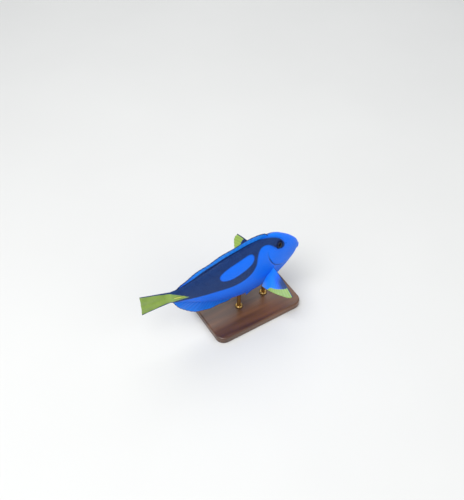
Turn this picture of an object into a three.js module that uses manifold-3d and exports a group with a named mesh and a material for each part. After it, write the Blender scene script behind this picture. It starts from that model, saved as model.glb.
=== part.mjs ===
// A regal blue tang, life size, swimming level on a plain display stand.
// Lengths are in millimetres, +Z is up, the head points along +X, and the origin is the middle of the
// stand's underside. A place on the fish is given as s, the distance behind the snout tip along the body,
// y, the distance out to the fish's left, and z, the height above the body's axis.
import * as THREE from "three";
import { mergeVertices } from "three/addons/utils/BufferGeometryUtils.js";
import Module from "manifold-3d";

const wasm = await Module();
wasm.setup();

// Driving sizes
const STANDARD_LENGTH = 192;
const BODY_DEPTH = 84;
const BODY_WIDTH = 32;
const SNOUT_X = 80;
const GAP = 0.3;
const SIDES = { left: 1, right: -1 };

// The stand
const BASE_LENGTH = 130;
const BASE_WIDTH = 84;
const BASE_HEIGHT = 10;
const BASE_CORNER = 12;
const BASE_EDGE = 1.5;
const ROD_RADIUS = 2.5;
const ROD_S = { breast: 53, belly: 93.5 };
const AXIS_HEIGHT = 80;

// Body outline, as shares of the standard length, the body depth and the body width
const BACK = [
  [0, -0.02], [0.006, 0.05], [0.016, 0.095], [0.042, 0.168], [0.083, 0.26], [0.125, 0.333],
  [0.177, 0.405], [0.234, 0.45], [0.297, 0.475], [0.39, 0.487], [0.505, 0.471], [0.625, 0.417],
  [0.74, 0.325], [0.833, 0.229], [0.911, 0.146], [0.958, 0.118], [1, 0.112],
];
const BELLY = [
  [0, -0.02], [0.008, -0.081], [0.021, -0.107], [0.047, -0.161], [0.089, -0.238], [0.135, -0.319],
  [0.208, -0.414], [0.302, -0.483], [0.39, -0.5], [0.495, -0.48], [0.599, -0.427], [0.703, -0.343],
  [0.807, -0.243], [0.885, -0.167], [0.943, -0.126], [1, -0.112],
];
const FLANK = [
  [0, 0], [0.006, 0.08], [0.021, 0.155], [0.053, 0.26], [0.09, 0.335], [0.138, 0.405], [0.213, 0.47],
  [0.319, 0.5], [0.426, 0.49], [0.532, 0.44], [0.649, 0.355], [0.771, 0.25], [0.878, 0.165],
  [0.947, 0.125], [1, 0.1],
];
// A cross section is fuller, the smaller this power of the cosine, at mid height and how it changes upward
const SECTION_FULLNESS = { middle: 0.82, upward: 0.18 };
// The swimming bend: how far the body's middle plane stands to the left along the length, in mm
const SWAY = [
  [0, 0], [0.25, -1.2], [0.45, -3.8], [0.62, -5.2], [0.74, -4.2], [0.86, -0.6], [1, 4.7], [1.17, 10.2],
];

// A smooth curve through points, with no overshoot: it returns the height at any place along them.
function through(points) {
  const n = points.length;
  const step = [];
  const slope = [];
  for (let i = 0; i < n - 1; i++) {
    step.push(points[i + 1][0] - points[i][0]);
    slope.push((points[i + 1][1] - points[i][1]) / step[i]);
  }
  const tangent = points.map((_, i) => {
    if (i === 0) return slope[0];
    if (i === n - 1) return slope[n - 2];
    if (slope[i - 1] * slope[i] <= 0) return 0;
    const a = 2 * step[i] + step[i - 1];
    const b = step[i] + 2 * step[i - 1];
    return (a + b) / (a / slope[i - 1] + b / slope[i]);
  });
  return (at) => {
    const x = Math.min(Math.max(at, points[0][0]), points[n - 1][0]);
    let i = 0;
    while (i < n - 2 && x > points[i + 1][0]) i++;
    const t = (x - points[i][0]) / step[i];
    const rise = points[i + 1][1] - points[i][1];
    return (
      points[i][1] + rise * t * t * (3 - 2 * t) +
      step[i] * (tangent[i] * t * (1 - t) ** 2 - tangent[i + 1] * t * t * (1 - t))
    );
  };
}

// The outline is rounded at the snout because it is a smooth function of the root of the length.
const rooted = (points) => {
  const curve = through(points.map(([share, value]) => [Math.sqrt(share), value]));
  return (s) => curve(Math.sqrt(Math.max(s, 0) / STANDARD_LENGTH));
};
const backShare = rooted(BACK);
const bellyShare = rooted(BELLY);
const flankShare = rooted(FLANK);
const back = (s) => backShare(s) * BODY_DEPTH;
const belly = (s) => bellyShare(s) * BODY_DEPTH;
const flank = (s) => flankShare(s) * BODY_WIDTH;
const swayCurve = through(SWAY);
const sway = (s) => swayCurve(s / STANDARD_LENGTH);

// A place on the fish as a point of the part
function place(s, y, z) {
  const d = 0.5;
  const lean = (sway(s + d) - sway(s - d)) / (2 * d);
  const unit = Math.hypot(1, lean);
  return new THREE.Vector3(
    SNOUT_X - s + (y * lean) / unit,
    sway(s) + y / unit,
    AXIS_HEIGHT + z,
  );
}

// Half the body's thickness, with a full belly and a leaner back. The angle is 90 degrees at the back's
// edge, and 0 at mid height.
function girth(s, angle) {
  const power = SECTION_FULLNESS.middle + SECTION_FULLNESS.upward * Math.sin(angle);
  return flank(s) * Math.max(Math.cos(angle), 0) ** power;
}
function section(s) {
  return { middle: (back(s) + belly(s)) / 2, half: (back(s) - belly(s)) / 2 };
}
function girthAtHeight(s, z) {
  const { middle, half } = section(s);
  return girth(s, Math.asin(THREE.MathUtils.clamp((z - middle) / half, -1, 1)));
}

// A place on one side's skin, with the direction that points straight out of it
function onSkin(s, z, side) {
  const d = 0.5;
  const at = (ds, dz) => place(s + ds, side * girthAtHeight(s + ds, z + dz), z + dz);
  const along = at(d, 0).sub(at(-d, 0));
  const up = at(0, d).sub(at(0, -d));
  return { point: at(0, 0), out: along.cross(up).normalize().multiplyScalar(side) };
}

// Solids from point grids
function solidFrom(points, triangles) {
  const geometry = new THREE.BufferGeometry();
  geometry.setAttribute(
    "position",
    new THREE.Float32BufferAttribute(points.flatMap((p) => [p.x, p.y, p.z]), 3),
  );
  geometry.setIndex(triangles);
  return solidOf(geometry);
}

function solidOf(source) {
  const bare = source.index ? source.clone() : source;
  bare.deleteAttribute("normal");
  bare.deleteAttribute("uv");
  const merged = mergeVertices(bare, 1e-4);
  return new wasm.Manifold(
    new wasm.Mesh({
      numProp: 3,
      vertProperties: merged.attributes.position.array,
      triVerts: new Uint32Array(merged.index.array),
    }),
  );
}

// The largest closed piece of a solid
const largest = (solid) =>
  solid.decompose().reduce((a, b) => (a.volume() > b.volume() ? a : b));

// A skin over rings of points that all have one count, closed by a point at each end
function loft(first, rings, last) {
  const count = rings[0].length;
  const points = [first, ...rings.flat(), last];
  const at = (ring, k) => 1 + ring * count + (k % count);
  const triangles = [];
  for (let k = 0; k < count; k++) {
    triangles.push(0, at(0, k), at(0, k + 1));
    triangles.push(points.length - 1, at(rings.length - 1, k + 1), at(rings.length - 1, k));
  }
  for (let ring = 0; ring < rings.length - 1; ring++)
    for (let k = 0; k < count; k++) {
      triangles.push(at(ring, k), at(ring + 1, k + 1), at(ring, k + 1));
      triangles.push(at(ring, k), at(ring + 1, k), at(ring + 1, k + 1));
    }
  return solidFrom(points, triangles);
}

// The whole fleshy body, grown by a margin where it is used to cut what meets it. The rings stand
// closer together towards the snout.
const BODY_RINGS = 42;
const RING_POINTS = 32;
const RING_CROWDING = 1.45;
function bodySolid(margin) {
  const rings = [];
  for (let i = 1; i <= BODY_RINGS; i++) {
    const s = STANDARD_LENGTH * (i / BODY_RINGS) ** RING_CROWDING;
    const { middle, half } = section(s);
    const ring = [];
    for (let k = 0; k < RING_POINTS; k++) {
      const turn = (2 * Math.PI * k) / RING_POINTS;
      const angle = Math.asin(Math.sin(turn));
      const side = Math.sign(Math.cos(turn));
      const y = side * (girth(s, angle) + margin * Math.cos(angle));
      ring.push(place(s, y, middle + (half + margin) * Math.sin(angle)));
    }
    rings.push(ring);
  }
  const snout = place(-margin, 0, back(0));
  const end = place(STANDARD_LENGTH + margin, 0, 0);
  return loft(snout, rings, end);
}
const body = bodySolid(0);
const bodyWithGap = bodySolid(GAP);

// A rounded solid in the fish's own directions
function ellipsoid(s, y, z, radii, { turn = 0, steps = 16 } = {}) {
  const shape = new THREE.SphereGeometry(1, steps, steps / 2);
  shape.scale(radii[0], radii[1], radii[2]);
  shape.rotateY(turn);
  const centre = place(s, y, z);
  shape.translate(centre.x, centre.y, centre.z);
  return solidOf(shape);
}

// A shape laid on the skin, its third axis pointing out of it, and sunk a little
const UP = new THREE.Vector3(0, 0, 1);
function laidOn(skin, shape, sunk) {
  shape.applyQuaternion(new THREE.Quaternion().setFromUnitVectors(UP, skin.out));
  const centre = skin.point.clone().addScaledVector(skin.out, -sunk);
  shape.translate(centre.x, centre.y, centre.z);
  return solidOf(shape);
}

// A thin wall across the whole body that follows a line drawn on its side
const WALL_HALF_SPAN = 60;
function wall(line, thickness) {
  const shifted = (distance) =>
    line.map(([s, z], k) => {
      const [s0, z0] = line[Math.max(k - 1, 0)];
      const [s1, z1] = line[Math.min(k + 1, line.length - 1)];
      const length = Math.hypot(s1 - s0, z1 - z0);
      return [s - (distance * (z1 - z0)) / length, z + (distance * (s1 - s0)) / length];
    });
  const outline = [...shifted(-thickness / 2), ...shifted(thickness / 2).reverse()];
  const shape = new THREE.Shape(
    outline.map(([s, z]) => new THREE.Vector2(SNOUT_X - s, AXIS_HEIGHT + z)),
  );
  const sheet = new THREE.ExtrudeGeometry(shape, { depth: 2 * WALL_HALF_SPAN, bevelEnabled: false });
  sheet.rotateX(Math.PI / 2);
  sheet.translate(0, WALL_HALF_SPAN, 0);
  return solidOf(sheet);
}

// The parts of the body: the gill opening parts the head from the trunk
const GILL_LINE = [
  [46, 60], [51, 38], [55.5, 28], [57.8, 20.5], [56.7, 15], [53.2, 6.7], [50.3, 1.9], [46.2, -2.5],
  [42, -5.6], [36.5, -9], [31, -14], [27, -22], [23.5, -33], [21, -50],
];
const STEM_S = 167;
const WALL_HEIGHT = 60;
const bodyPieces = body
  .subtract(wall(GILL_LINE, GAP))
  .subtract(wall([[STEM_S, WALL_HEIGHT], [STEM_S, -WALL_HEIGHT]], GAP))
  .decompose()
  .sort((a, b) => b.boundingBox().max[0] - a.boundingBox().max[0]);
const [headBlock, trunk, stemBlock] = bodyPieces;

// The eyes stand a little proud of the head, each in a round socket with a raised rim.
const EYE = { s: 38.5, z: 25, radius: 5.6, depth: 4.2, sunk: 2.7, steps: 18, rings: 10 };
const RIM = { radius: 6, thickness: 0.85, sunk: 0.35, steps: 20, sides: 6 };
function eyeball(side, grow) {
  const ball = new THREE.SphereGeometry(1, EYE.steps, EYE.rings);
  ball.rotateX(Math.PI / 2);
  ball.scale(EYE.radius + grow, EYE.radius + grow, EYE.depth + grow);
  return laidOn(onSkin(EYE.s, EYE.z, side), ball, EYE.sunk);
}
function eyeRim(side) {
  const ring = new THREE.TorusGeometry(RIM.radius, RIM.thickness, RIM.sides, RIM.steps);
  return laidOn(onSkin(EYE.s, EYE.z, side), ring, RIM.sunk);
}

// The mouth is small, with fleshy lips parted by a thin line that turns down at its corners.
const MOUTH_Z = -2.6;
const UPPER_LIP = { s: 3, rise: 1.9, radii: [3.7, 4.2, 1.9], turn: -0.2 };
const LOWER_LIP = { s: 3.2, rise: -1.8, radii: [3.4, 3.9, 1.7], turn: 0.25 };
const MOUTH_LINE = { s: 0.6, rise: 0, radii: [5.4, 7.5, 0.32], turn: 0.12 };
const mouthPart = ({ s, rise, radii, turn }) => ellipsoid(s, 0, MOUTH_Z + rise, radii, { turn });

// Two nostrils in front of each eye
const NOSTRILS = [
  { s: 30, z: 22.6, radius: 0.8 },
  { s: 27, z: 21, radius: 1 },
];
const NOSTRIL = { depth: 1.4, steps: 8, rings: 6 };
function nostril({ s, z, radius }, side) {
  const pit = new THREE.SphereGeometry(1, NOSTRIL.steps, NOSTRIL.rings);
  pit.scale(radius, radius, NOSTRIL.depth);
  return laidOn(onSkin(s, z, side), pit, 0);
}
let head = headBlock.add(mouthPart(UPPER_LIP)).add(mouthPart(LOWER_LIP));
for (const side of Object.values(SIDES)) head = head.add(eyeRim(side));
for (const side of Object.values(SIDES)) {
  head = head.subtract(eyeball(side, GAP));
  for (const one of NOSTRILS) head = head.subtract(nostril(one, side));
}
head = largest(head.subtract(mouthPart(MOUTH_LINE)));

// The tail stem carries a folded blade on each side, lying in line with the body.
const BLADE = { s: 178, z: 0.2, radii: [7.5, 1.5, 1.5], sunk: 0.6 };
let stem = stemBlock;
for (const side of Object.values(SIDES))
  stem = stem.add(
    ellipsoid(BLADE.s, side * (flank(BLADE.s) - BLADE.sunk), BLADE.z, BLADE.radii, { steps: 12 }),
  );
stem = largest(stem);

// A fin is a web whose rays stand up as ridges on both faces. Its middle surface is a grid of points,
// at(u, v), where u runs from the first ray to the last, and v from the root, 0, to the margin, 1.
function fin({ rays, rows, at, thick }) {
  const columns = 2 * rays - 1;
  const grid = [];
  for (let i = 0; i < columns; i++) {
    const line = [];
    for (let j = 0; j <= rows; j++) line.push(at(i / (columns - 1), j / rows));
    grid.push(line);
  }
  const lastColumn = columns - 1;
  const normalAt = (i, j) => {
    const across = new THREE.Vector3().subVectors(
      grid[Math.min(i + 1, lastColumn)][j],
      grid[Math.max(i - 1, 0)][j],
    );
    const along = new THREE.Vector3().subVectors(
      grid[i][Math.min(j + 1, rows)],
      grid[i][Math.max(j - 1, 0)],
    );
    return across.cross(along).normalize();
  };
  const points = [];
  for (const face of [1, -1])
    for (let i = 0; i < columns; i++)
      for (let j = 0; j <= rows; j++) {
        const half = thick(i % 2 === 0, i / lastColumn, j / rows) / 2;
        points.push(grid[i][j].clone().addScaledVector(normalAt(i, j), face * half));
      }
  const index = (face, i, j) => (face * columns + i) * (rows + 1) + j;
  const triangles = [];
  for (let i = 0; i < lastColumn; i++)
    for (let j = 0; j < rows; j++) {
      const corner = (face) => [
        index(face, i, j), index(face, i + 1, j), index(face, i + 1, j + 1), index(face, i, j + 1),
      ];
      const [a, b, c, d] = corner(0);
      triangles.push(a, b, c, a, c, d);
      const [e, f, g, h] = corner(1);
      triangles.push(e, g, f, e, h, g);
    }
  const edge = [];
  for (let i = 0; i < lastColumn; i++) edge.push([i, 0]);
  for (let j = 0; j < rows; j++) edge.push([lastColumn, j]);
  for (let i = lastColumn; i > 0; i--) edge.push([i, rows]);
  for (let j = rows; j > 0; j--) edge.push([0, j]);
  edge.forEach(([i, j], k) => {
    const [m, n] = edge[(k + 1) % edge.length];
    const a = index(0, i, j);
    const b = index(0, m, n);
    triangles.push(a, index(1, i, j), index(1, m, n), a, index(1, m, n), b);
  });
  const made = solidFrom(points, triangles);
  return made.volume() < 0 ? solidFrom(points, turned(triangles)) : made;
}

function turned(triangles) {
  const result = [];
  for (let k = 0; k < triangles.length; k += 3)
    result.push(triangles[k], triangles[k + 2], triangles[k + 1]);
  return result;
}

// How thick a fin is at a ray or a web: fleshy at its root, and thin at its margin
const MARGIN_WEB = 0.5;
const MARGIN_RAY = 0.25;
function thickness({ web = 0, ray, flesh, reach, stout = 0, isStout = () => 0 }) {
  return (isRay, u, v) => {
    const taper = 1 - v;
    const ridge = isRay ? MARGIN_RAY + ray * taper : 0;
    return MARGIN_WEB + web * taper + ridge + stout * isStout(u) * taper + flesh * Math.exp(-v / reach);
  };
}
const isFirstRay = (u) => (u === 0 ? 1 : 0);
const meetsBody = (solid) => largest(solid.subtract(bodyWithGap));
const degrees = (angle) => (angle * Math.PI) / 180;
const mix = (a, b, t) => a + (b - a) * t;
const SUNK = 3;

// The fins of the middle line: their margins are drawn on the fish's side, as s and z in mm.
const DORSAL = {
  rays: 28,
  rows: 5,
  root: { from: 48, to: 172 },
  margin: [
    [50, 40], [55, 45.5], [63, 48.6], [84, 49.6], [102, 48], [120, 45], [136, 40.2], [150, 34.2],
    [162, 27.2], [172, 18.8], [180.5, 11.4],
  ],
};
const ANAL = {
  rays: 21,
  rows: 6,
  root: { from: 99, to: 172 },
  margin: [
    [101, -41.5], [105, -44.6], [115, -46.2], [127, -45.9], [138, -45.6], [148, -44.9], [158.5, -41.7],
    [169, -35.2], [177.4, -26.4], [183.2, -17.3], [186.2, -10.8],
  ],
};
const RIPPLE = { height: 0.5, waves: 4.5 };
const RAY_BOW = 0.12;
function middleFin({ rays, rows, root, margin }, edge, sign) {
  const marginS = through(margin.map(([s], k) => [k / (margin.length - 1), s]));
  const marginZ = through(margin.map(([, z], k) => [k / (margin.length - 1), z]));
  const at = (u, v) => {
    const rootS = mix(root.from, root.to, u);
    const s = mix(rootS, marginS(u), v + RAY_BOW * v * (1 - v));
    const z = mix(edge(rootS) - sign * SUNK, marginZ(u), v);
    return place(s, RIPPLE.height * v * Math.sin(2 * Math.PI * RIPPLE.waves * u), z);
  };
  const thick = thickness({ web: 0.3, ray: 0.7, flesh: 1.6, reach: 0.07 });
  return meetsBody(fin({ rays, rows, at, thick }));
}
const dorsalFin = middleFin(DORSAL, back, 1);
const analFin = middleFin(ANAL, belly, -1);

// The tail fin, half closed, with a nearly straight margin
const CAUDAL = {
  rays: 16,
  rows: 9,
  root: { s: STANDARD_LENGTH - 4, depth: 18 },
  corner: { s: 225.5, z: 17.2 },
  middleS: 225.2,
  flare: 1.15,
  ripple: { height: 0.45, waves: 2.5 },
};
const tailRipple = (u, v) =>
  CAUDAL.ripple.height * v * Math.sin(2 * Math.PI * CAUDAL.ripple.waves * u);
const caudalFin = meetsBody(
  fin({
    rays: CAUDAL.rays,
    rows: CAUDAL.rows,
    at: (u, v) => {
      const across = 1 - 2 * u;
      const endS = mix(CAUDAL.middleS, CAUDAL.corner.s, across ** 2);
      const z = mix((across * CAUDAL.root.depth) / 2, across * CAUDAL.corner.z, v ** CAUDAL.flare);
      return place(mix(CAUDAL.root.s, endS, v), tailRipple(u, v), z);
    },
    thick: thickness({ ray: 0.5, flesh: 4.4, reach: 0.13, stout: 0.7, isStout: (u) => (1 - 2 * u) ** 6 }),
  }),
);

// The breast fins stand out to the sides as the fish sculls, each ray set from its place on the root and
// a fan of directions: sweep is the turn back from straight out, and droop the turn down, in degrees.
const BREAST = {
  rays: 16,
  rows: 8,
  root: { upper: [50, -5.5], lower: [55, -14.5] },
  sweep: { first: -3.5, last: 68, bend: 6 },
  droop: { left: { first: 1, last: 12 }, right: { first: 15, last: 25 }, bend: 3 },
  longest: 50,
  shares: [[0, 1], [0.07, 0.98], [0.25, 0.82], [0.5, 0.64], [0.75, 0.51], [1, 0.42]],
};
function breastFin(sideName) {
  const side = SIDES[sideName];
  const droopFan = BREAST.droop[sideName];
  const rayShare = through(BREAST.shares);
  const at = (u, v) => {
    const rootS = mix(BREAST.root.upper[0], BREAST.root.lower[0], u);
    const rootZ = mix(BREAST.root.upper[1], BREAST.root.lower[1], u);
    const sweep = degrees(mix(BREAST.sweep.first, BREAST.sweep.last, u) + BREAST.sweep.bend * v * (1 - u));
    const droop = degrees(mix(droopFan.first, droopFan.last, u) + BREAST.droop.bend * v);
    const reach = BREAST.longest * rayShare(u) * v;
    return place(
      rootS + reach * Math.sin(sweep) * Math.cos(droop),
      side * (flank(rootS) - SUNK + reach * Math.cos(sweep) * Math.cos(droop)),
      rootZ - reach * Math.sin(droop),
    );
  };
  const thick = thickness({ ray: 0.35, flesh: 2.2, reach: 0.1, stout: 0.5, isStout: isFirstRay });
  return meetsBody(fin({ rays: BREAST.rays, rows: BREAST.rows, at, thick }));
}

// The belly fins are half folded under the body, one spine and three rays each. Downward and outward are
// turns away from straight back, in degrees.
const BELLY_FIN = {
  rays: 4,
  rows: 6,
  root: { front: 62, rear: 67, y: 3, sunk: 1.5 },
  length: { first: 26, last: 18 },
  downward: { first: 16, last: 8, bend: 6 },
  outward: { first: 6, last: 2 },
};
function bellyFin(sideName) {
  const { rays, rows, root, length, downward, outward } = BELLY_FIN;
  const at = (u, v) => {
    const rootS = mix(root.front, root.rear, u);
    const down = degrees(mix(downward.first, downward.last, u) + downward.bend * (1 - v));
    const out = degrees(mix(outward.first, outward.last, u));
    const reach = mix(length.first, length.last, u) * v;
    return place(
      rootS + reach * Math.cos(down) * Math.cos(out),
      SIDES[sideName] * (root.y + reach * Math.sin(out)),
      belly(rootS) + root.sunk - reach * Math.sin(down) * Math.cos(out),
    );
  };
  const thick = thickness({ ray: 0.5, flesh: 1, reach: 0.1, stout: 0.6, isStout: isFirstRay });
  return meetsBody(fin({ rays, rows, at, thick }));
}

// The stand: a plate with round corners and a soft top edge, and two short rods up to the underside
const BASE_CORNER_STEPS = 6;
function basePlate() {
  const outline = new THREE.Shape();
  const r = BASE_CORNER - BASE_EDGE;
  const x = BASE_LENGTH / 2 - BASE_CORNER;
  const y = BASE_WIDTH / 2 - BASE_CORNER;
  [[x, y], [-x, y], [-x, -y], [x, -y]].forEach(([cornerX, cornerY], k) => {
    outline.absarc(cornerX, cornerY, r, (k * Math.PI) / 2, ((k + 1) * Math.PI) / 2);
  });
  const plate = new THREE.ExtrudeGeometry(outline, {
    depth: BASE_HEIGHT - 2 * BASE_EDGE,
    bevelThickness: BASE_EDGE,
    bevelSize: BASE_EDGE,
    bevelSegments: 2,
    curveSegments: BASE_CORNER_STEPS,
  });
  plate.translate(0, 0, BASE_EDGE);
  return solidOf(plate);
}
const ROD_SIDES = 20;
function rod(s) {
  const foot = BASE_HEIGHT + GAP;
  const inBody = AXIS_HEIGHT - BODY_DEPTH / 4;
  const shaft = new THREE.CylinderGeometry(ROD_RADIUS, ROD_RADIUS, inBody - foot, ROD_SIDES);
  shaft.rotateX(Math.PI / 2);
  shaft.translate(SNOUT_X - s, sway(s), (inBody + foot) / 2);
  return meetsBody(solidOf(shaft));
}

// Finishes
const finish = (color, roughness, metalness = 0) =>
  new THREE.MeshStandardMaterial({ color, roughness, metalness });
const BLUE = finish(0x0878fa, 0.45);
const FIN_BLUE = finish(0x1487f5, 0.4);
const YELLOW = finish(0xc8cf3c, 0.45);
const EYE_BLACK = finish(0x0b0d16, 0.12);
const WOOD = finish(0x5b3b26, 0.55);
const BRASS = finish(0xb08d57, 0.35, 1);

const tang = new THREE.Group();
function addNode(name, solid, material) {
  const { numProp, vertProperties, triVerts } = solid.getMesh();
  const geometry = new THREE.BufferGeometry();
  geometry.setAttribute(
    "position",
    new THREE.InterleavedBufferAttribute(new THREE.InterleavedBuffer(vertProperties, numProp), 3, 0),
  );
  geometry.setIndex(new THREE.BufferAttribute(triVerts, 1));
  geometry.computeVertexNormals();
  const mesh = new THREE.Mesh(geometry, material);
  mesh.name = name;
  tang.add(mesh);
}

addNode("head", head, BLUE);
addNode("trunk", trunk, BLUE);
addNode("tail_stem", stem, YELLOW);
addNode("dorsal_fin", dorsalFin, FIN_BLUE);
addNode("anal_fin", analFin, FIN_BLUE);
addNode("tail_fin", caudalFin, YELLOW);
for (const [name, side] of Object.entries(SIDES)) {
  addNode(`eye_${name}`, eyeball(side, 0), EYE_BLACK);
  addNode(`breast_fin_${name}`, breastFin(name), FIN_BLUE);
  addNode(`belly_fin_${name}`, bellyFin(name), FIN_BLUE);
}
addNode("stand_base", basePlate(), WOOD);
for (const [name, s] of Object.entries(ROD_S)) addNode(`stand_rod_${name}`, rod(s), BRASS);

export default tang;
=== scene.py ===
# %% [markdown]
# # A regal blue tang on a display stand
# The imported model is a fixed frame: one node for each part of the fish and of its stand, in metres,
# with +X towards the head, +Y to the fish's left and +Z up. Everything here is built around it. Sizes
# are written in millimetres and made metres when a mesh is finished.

import math

import bmesh
import bpy
import numpy as np
from mathutils import Matrix, Vector


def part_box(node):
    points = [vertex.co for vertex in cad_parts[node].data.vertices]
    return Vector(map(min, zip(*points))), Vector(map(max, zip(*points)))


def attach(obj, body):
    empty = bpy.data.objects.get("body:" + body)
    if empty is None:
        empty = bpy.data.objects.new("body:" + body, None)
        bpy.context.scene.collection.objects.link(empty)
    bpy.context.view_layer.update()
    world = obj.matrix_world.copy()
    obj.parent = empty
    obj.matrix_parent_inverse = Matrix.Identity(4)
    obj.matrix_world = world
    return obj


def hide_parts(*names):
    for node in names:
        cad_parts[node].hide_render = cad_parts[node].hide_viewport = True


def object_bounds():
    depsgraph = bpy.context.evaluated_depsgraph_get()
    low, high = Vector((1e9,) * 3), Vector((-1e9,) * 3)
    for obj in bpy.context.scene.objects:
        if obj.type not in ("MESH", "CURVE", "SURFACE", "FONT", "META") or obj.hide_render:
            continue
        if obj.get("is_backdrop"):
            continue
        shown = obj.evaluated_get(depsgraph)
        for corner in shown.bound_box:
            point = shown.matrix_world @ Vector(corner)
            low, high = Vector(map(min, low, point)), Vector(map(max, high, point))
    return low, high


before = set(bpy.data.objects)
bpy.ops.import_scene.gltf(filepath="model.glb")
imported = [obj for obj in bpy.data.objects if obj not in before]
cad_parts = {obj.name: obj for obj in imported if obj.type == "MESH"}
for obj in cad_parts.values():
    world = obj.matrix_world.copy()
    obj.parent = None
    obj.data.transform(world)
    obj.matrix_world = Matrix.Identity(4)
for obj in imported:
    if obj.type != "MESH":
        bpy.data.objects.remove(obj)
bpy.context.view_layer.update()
scene = bpy.context.scene
MM = 0.001

# %% [markdown]
# A fish is easiest to draw straight. A place on it is s, how far behind the snout tip, y, how far out to
# its left, and z, how high above the axis. The outline is three smooth curves, the back, the belly and
# the half width, and a fourth curve bends the finished body as it swims. The curves could be drawn as
# splines in the editor, but as functions of s they also place the fins, the eyes and the markings.

# %% Driving sizes and the outline, as shares of the length, the depth and the width
LENGTH, DEPTH, WIDTH = 192, 84, 32
SNOUT_X = 80
AXIS_HEIGHT = 80
SIDES = {"left": 1, "right": -1}
BACK = [
    (0, -0.02), (0.006, 0.05), (0.016, 0.095), (0.042, 0.168), (0.083, 0.26), (0.125, 0.333),
    (0.177, 0.405), (0.234, 0.45), (0.297, 0.475), (0.39, 0.487), (0.505, 0.471), (0.625, 0.417),
    (0.74, 0.325), (0.833, 0.229), (0.911, 0.146), (0.958, 0.118), (1, 0.112),
]
BELLY = [
    (0, -0.02), (0.008, -0.081), (0.021, -0.107), (0.047, -0.161), (0.089, -0.238), (0.135, -0.319),
    (0.208, -0.414), (0.302, -0.483), (0.39, -0.5), (0.495, -0.48), (0.599, -0.427), (0.703, -0.343),
    (0.807, -0.243), (0.885, -0.167), (0.943, -0.126), (1, -0.112),
]
FLANK = [
    (0, 0), (0.006, 0.08), (0.021, 0.155), (0.053, 0.26), (0.09, 0.335), (0.138, 0.405), (0.213, 0.47),
    (0.319, 0.5), (0.426, 0.49), (0.532, 0.44), (0.649, 0.355), (0.771, 0.25), (0.878, 0.165),
    (0.947, 0.125), (1, 0.1),
]
SWAY = [(0, 0), (0.25, -1.2), (0.45, -3.8), (0.62, -5.2), (0.74, -4.2), (0.86, -0.6), (1, 4.7), (1.17, 10.2)]


def through(points):
    """A smooth curve through points with no overshoot, for single numbers and for arrays."""
    x, y = np.array(points, float).T
    step = np.diff(x)
    slope = np.diff(y) / step
    tangent = np.r_[slope[0], np.zeros(len(x) - 2), slope[-1]]
    rising = slope[:-1] * slope[1:] > 0
    a, b = 2 * step[1:] + step[:-1], step[1:] + 2 * step[:-1]
    with np.errstate(divide="ignore", invalid="ignore"):
        tangent[1:-1] = np.where(rising, (a + b) / (a / slope[:-1] + b / slope[1:]), 0)

    def curve(at):
        at = np.clip(at, x[0], x[-1])
        i = np.clip(np.searchsorted(x, at, side="right") - 1, 0, len(step) - 1)
        t = (at - x[i]) / step[i]
        bow = tangent[i] * t * (1 - t) ** 2 - tangent[i + 1] * t * t * (1 - t)
        return y[i] + (y[i + 1] - y[i]) * t * t * (3 - 2 * t) + step[i] * bow

    return curve


def rooted(points):
    """An outline curve in the root of the length, which rounds the snout."""
    curve = through([(math.sqrt(share), value) for share, value in points])
    return lambda s: curve(np.sqrt(np.maximum(s, 0) / LENGTH))


back_share, belly_share, flank_share = rooted(BACK), rooted(BELLY), rooted(FLANK)
sway_curve = through(SWAY)


def back(s):
    return back_share(s) * DEPTH


def belly(s):
    return belly_share(s) * DEPTH


def flank(s):
    return flank_share(s) * WIDTH


def sway(s):
    return sway_curve(np.asarray(s) / LENGTH)


print("deepest", round(float(max(back(np.arange(192)) - belly(np.arange(192)))), 1), "mm")

# %% Cross sections, and places on the fish as points of the frame
def girth(s, angle):
    """Half the thickness at an angle round the section, from -90 degrees at the belly to 90 at the back."""
    power = 0.82 + 0.18 * np.sin(angle)
    return flank(s) * np.maximum(np.cos(angle), 0) ** power


def middle_and_half(s):
    return (back(s) + belly(s)) / 2, (back(s) - belly(s)) / 2


def girth_at(s, z):
    middle, half = middle_and_half(s)
    return girth(s, np.arcsin(np.clip((z - middle) / half, -1, 1)))


def place(s, y, z):
    """Points in metres for places in millimetres, as an array with a last side of three."""
    lean = sway(s + 0.5) - sway(s - 0.5)
    unit = np.hypot(1, lean)
    return MM * np.stack([SNOUT_X - s + y * lean / unit, sway(s) + y / unit, AXIS_HEIGHT + z], -1)


def smooth(value, low, high):
    t = np.clip((value - low) / (high - low), 0, 1)
    return t * t * (3 - 2 * t)


def bump(value, width):
    return np.exp(-((value / width) ** 2))


snout = place(np.array(0.0), 0, back(0.0))

# %% [markdown]
# The markings are the animal's own: a black palette from the eye to the tail that encloses a blue oval,
# and a yellow wedge on the tail stem. They are drawn once, on the straight fish, as outlines in s and z.
# Every mesh then stores how far each of its points lies inside each outline, in millimetres, and the
# materials turn that distance into an edge as soft or as sharp as they like. An image would do it too,
# but a stored distance stays sharp at any size and is the same on the skin and on the scales.

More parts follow.
